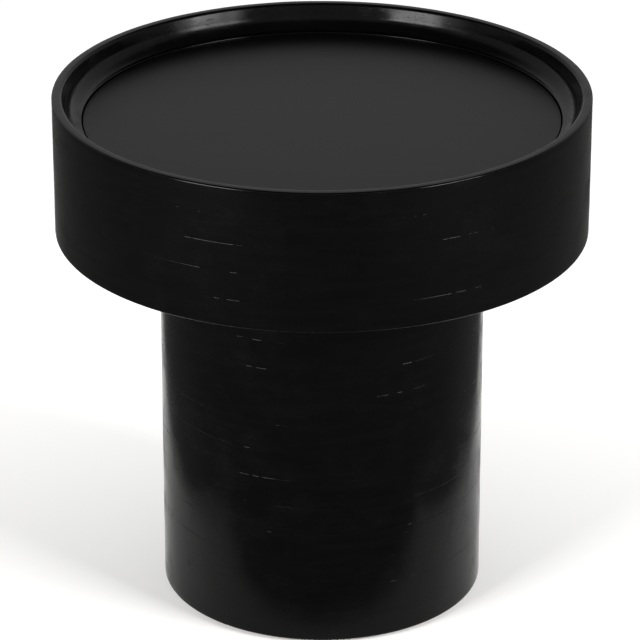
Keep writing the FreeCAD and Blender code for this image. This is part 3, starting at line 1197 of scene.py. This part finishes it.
@dataclass(frozen=True)
class Softbox:
    """One rectangular studio lamp."""

    name: str
    place: Triple
    power: float
    target: Triple = (0.0, 0.0, 0.43)
    size: Span = (0.8, 0.8)

    def build(self) -> Object:
        """Hang the lamp and aim it.

        Returns:
            The lamp.
        """
        lamp = bpy.data.lights.new(self.name, "AREA")
        lamp.shape = "RECTANGLE"
        lamp.size, lamp.size_y = self.size
        lamp.energy = self.power
        made = bpy.data.objects.new(self.name, lamp)
        made.location = self.place
        aim = Vector(self.target) - Vector(self.place)
        made.rotation_euler = aim.to_track_quat("-Z", "Y").to_euler()
        made.visible_camera = False
        bpy.context.scene.collection.objects.link(made)
        return made


@dataclass(frozen=True)
class GraduatedPaper(Finish):
    """Matte paper for the floor: a white lane under and behind the table, and grey beyond it.

    The lane is as wide as the camera sees, so the black sides mirror the grey and stay dark. Part
    of the lane's white is its own, for what looks at it or mirrors it, and more so farther back.
    The rest is lamplight, which takes the shadow.
    """

    name: str = "paper_floor_matte_graduated"
    white: str = "#F4F3F1"
    grey: str = "#848483"
    roughness: float = 0.95
    specular: float = 0.1
    lane_half_width: float = 0.288
    lane_widening: float = 0.075
    lane_front: float = -0.145
    lane_back: float = 1.75
    lane_fade: float = 0.06
    own_light: Span = (0.06, 0.55)
    own_light_from: Span = (-0.1, 0.45)
    tooth: Pattern = Pattern(4.0, 2.0)
    tooth_depth_mm: float = 0.02

    def lane(self, tree: Tree, place: Node) -> Socket:
        """Mark the white lane.

        Args:
            tree: The material's node tree.
            place: The place on the floor, axis by axis.

        Returns:
            One inside the lane and zero beyond its faded edge.
        """
        across, along = place.outputs["X"], place.outputs["Y"]
        width = reckon(tree, "MULTIPLY_ADD", along, self.lane_widening, self.lane_half_width)
        beside = reckon(tree, "SUBTRACT", reckon(tree, "ABSOLUTE", across), width)
        before = reckon(tree, "SUBTRACT", self.lane_front, along)
        behind = reckon(tree, "SUBTRACT", along, self.lane_back)
        outside = reckon(tree, "MAXIMUM", reckon(tree, "MAXIMUM", beside, before), behind)
        return ranged(tree, outside, (self.lane_fade, 0.0), interpolation_type="SMOOTHSTEP")

    def dress(self, tree: Tree, shader: Node) -> None:
        """Whiten the lane, and give it its own light.

        Args:
            tree: The material's node tree.
            shader: The material's shader.
        """
        place = add(tree, "SeparateXYZ", {0: add(tree, "TexCoord").outputs["Object"]})
        lane = self.lane(tree, place)
        paint(tree, shader, lane, self.grey, self.white)
        path = add(tree, "LightPath").outputs
        seen = reckon(tree, "MAXIMUM", path["Is Camera Ray"], path["Is Glossy Ray"])
        seen = reckon(tree, "MAXIMUM", seen, path["Is Transmission Ray"])
        own = ranged(tree, place.outputs["Y"], self.own_light_from, self.own_light)
        own = reckon(tree, "MULTIPLY", reckon(tree, "MULTIPLY", lane, seen), own)
        tree.links.new(own, shader.inputs["Emission Strength"])
        shader.inputs["Emission Color"].default_value = WHITE
        emboss(tree, shader, (self.tooth.lay(tree), self.tooth_depth_mm))
        shader.inputs["Roughness"].default_value = self.roughness
        shader.inputs["Specular IOR Level"].default_value = self.specular


@dataclass
class Studio:
    """A paper floor, soft lamps, a pale band round the horizon and the camera."""

    camera_place: Triple = (-0.0017, -3.0582, 1.6105)
    camera_pitch_degrees: float = 24.154
    camera_lens_mm: float = 220.77
    camera_sensor_mm: float = 36.0
    camera_far_end: float = 100.0
    floor_radius: float = 12.0
    floor_columns: int = 96
    horizon: float = 0.66
    zenith: float = 0.07
    band: Span = (0.5, 0.75)
    lamps: tuple[Softbox, ...] = (
        Softbox("left_softbox", (-1.38, -1.38, 0.80), 48.0),
        Softbox("right_softbox", (1.53, -1.15, 0.95), 47.0),
    )

    def floor(self) -> Object:
        """Lay the floor as a stage.

        Returns:
            The floor.
        """
        rim = [(x, y, 0.0) for x, y in ring_places(self.floor_radius, self.floor_columns)]
        mesh = bpy.data.meshes.new("paper_floor")
        mesh.from_pydata(rim, [], [range(self.floor_columns)])
        mesh.materials.append(GraduatedPaper().material())
        made = bpy.data.objects.new("paper_floor", mesh)
        bpy.context.scene.collection.objects.link(made)
        made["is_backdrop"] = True
        return made

    def surroundings(self) -> bpy.types.World:
        """Make the world: a pale band round the horizon under a dark ceiling.

        Returns:
            The world.
        """
        world = bpy.data.worlds.new("pale_horizon_dark_ceiling")
        world.use_nodes = True
        tree = world.node_tree
        tree.nodes.clear()
        way = add(tree, "TexCoord").outputs["Generated"]
        up = add(tree, "SeparateXYZ", {0: way}).outputs["Z"]
        level = ranged(tree, up, self.band, (self.horizon, self.zenith),
                       interpolation_type="SMOOTHSTEP")
        light = add(tree, "Background", {"Strength": level})
        light.inputs["Color"].default_value = WHITE
        add(tree, "OutputWorld", {"Surface": light.outputs[0]})
        return world

    def camera(self) -> Object:
        """Set up the photo's camera.

        Returns:
            The camera.
        """
        lens = bpy.data.cameras.new("camera")
        lens.lens = self.camera_lens_mm
        lens.sensor_width = self.camera_sensor_mm
        lens.clip_end = self.camera_far_end
        made = bpy.data.objects.new("camera", lens)
        made.location = self.camera_place
        made.rotation_euler = (math.radians(90 - self.camera_pitch_degrees), 0.0, 0.0)
        bpy.context.scene.collection.objects.link(made)
        return made

    def build(self) -> None:
        """Set up the stage, the lamps, the surroundings and the camera."""
        scene = bpy.context.scene
        scene.view_settings.view_transform = "Standard"
        self.floor()
        for lamp in self.lamps:
            lamp.build()
        scene.world = self.surroundings()
        scene.camera = self.camera()


def dress_nodes(finishes: dict[str, Material]) -> None:
    """Give the frame nodes that stay in view their finishes.

    Args:
        finishes: The material for each node.
    """
    for node, material in finishes.items():
        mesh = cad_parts[node].data
        mesh.materials.clear()
        mesh.materials.append(material)
        LOG.info("%s: dressed", node)


def write_sizes() -> None:
    """Measure the dressed table's box beside the frame's box; the pair is not kept."""
    boxes = {"cad": CAD_BOX, "visual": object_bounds()}
    {name: [list(corner) for corner in box] for name, box in boxes.items()}


def main() -> None:
    """Build the table, dress it and set it in the studio."""
    logging.basicConfig(level=logging.INFO)
    lacquer = LacqueredMango().material()
    stain = StainedMango().material()
    zinc = MachinedMetal("steel_machined_bright_zinc", "#C9CBCC", "#8F9294").material()
    brass = MachinedMetal("brass_machined_bare", "#D2B06A", "#9A7A3E").material()
    pieces = [
        *TrayDrum().build(lacquer, stain),
        TrayFloor().build(LacqueredPanel().material()),
        *Pedestal().build(lacquer, stain),
        *Fastenings().build(zinc, brass),
        FeltPads().build(PressedFelt().material()),
    ]
    board = SprayedBoard().material()
    dress_nodes({"base_board": board, "head_plate": board})
    Studio().build()
    write_sizes()
    LOG.info("%d pieces", len(pieces))


if __name__ == "__main__":
    main()
